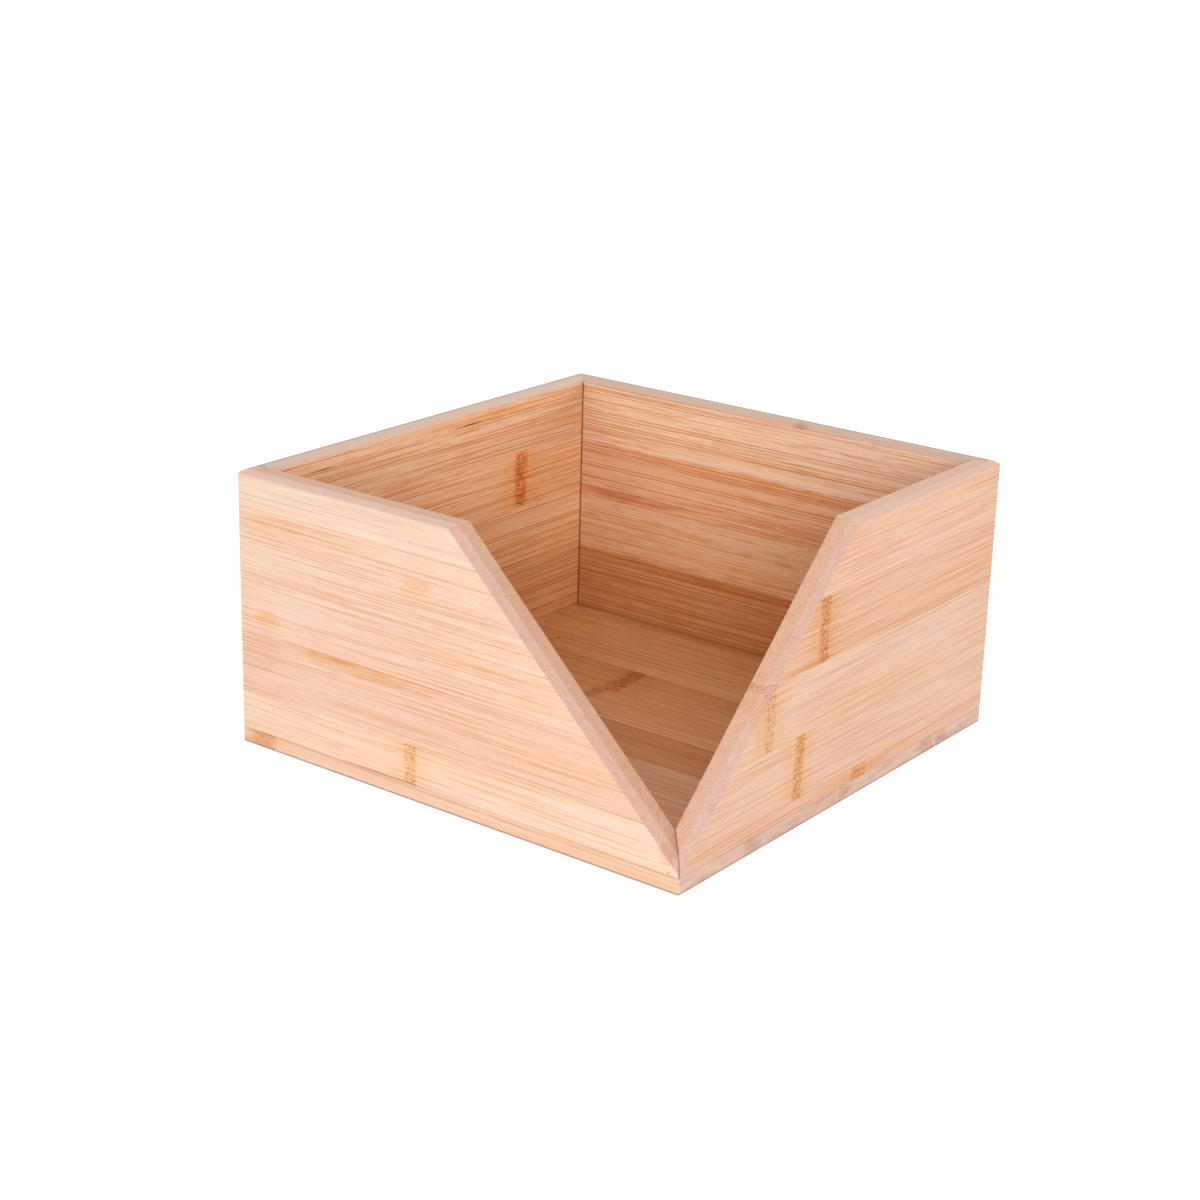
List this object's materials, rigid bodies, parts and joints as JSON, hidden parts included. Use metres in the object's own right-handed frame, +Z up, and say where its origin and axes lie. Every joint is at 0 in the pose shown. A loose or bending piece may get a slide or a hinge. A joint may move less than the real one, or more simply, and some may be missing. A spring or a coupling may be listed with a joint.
{
  "type": "open-corner storage box",
  "caption": "Low square open-topped storage box of flat bamboo strip boards, with mitred corners and a wide V-shaped opening at one corner for reaching in.",
  "frame": {"origin": "middle of the underside of the base, on the surface that the box stands on", "axes": "+Z up; the front wall faces -Y and the right wall faces +X, and the V opening is at the corner between them"},
  "size_m": [0.18, 0.18, 0.095],
  "materials": {
    "bamboo_pale": "fine-sanded raw bamboo, matt",
    "bamboo_warm": "fine-sanded raw bamboo, matt",
    "bamboo_brown": "fine-sanded raw bamboo, matt"
  },
  "bodies": {
    "root": {"front_wall_strip_1": "bamboo_pale", "front_wall_strip_2": "bamboo_warm", "front_wall_strip_3": "bamboo_pale", "front_wall_strip_4": "bamboo_warm", "front_wall_strip_5": "bamboo_pale", "right_wall_strip_1": "bamboo_pale", "right_wall_strip_2": "bamboo_warm", "right_wall_strip_3": "bamboo_pale", "right_wall_strip_4": "bamboo_pale", "right_wall_strip_5": "bamboo_warm", "back_wall_strip_1": "bamboo_pale", "back_wall_strip_2": "bamboo_warm", "back_wall_strip_3": "bamboo_pale", "back_wall_strip_4": "bamboo_brown", "left_wall_strip_1": "bamboo_warm", "left_wall_strip_2": "bamboo_warm", "left_wall_strip_3": "bamboo_brown", "left_wall_strip_4": "bamboo_warm", "left_wall_strip_5": "bamboo_warm", "base_strip_1": "bamboo_warm", "base_strip_2": "bamboo_brown", "base_strip_3": "bamboo_warm", "base_strip_4": "bamboo_brown", "base_strip_5": "bamboo_warm", "base_strip_6": "bamboo_brown", "base_strip_7": "bamboo_pale", "base_strip_8": "bamboo_warm", "base_strip_9": "bamboo_warm"}
  },
  "joints": []
}
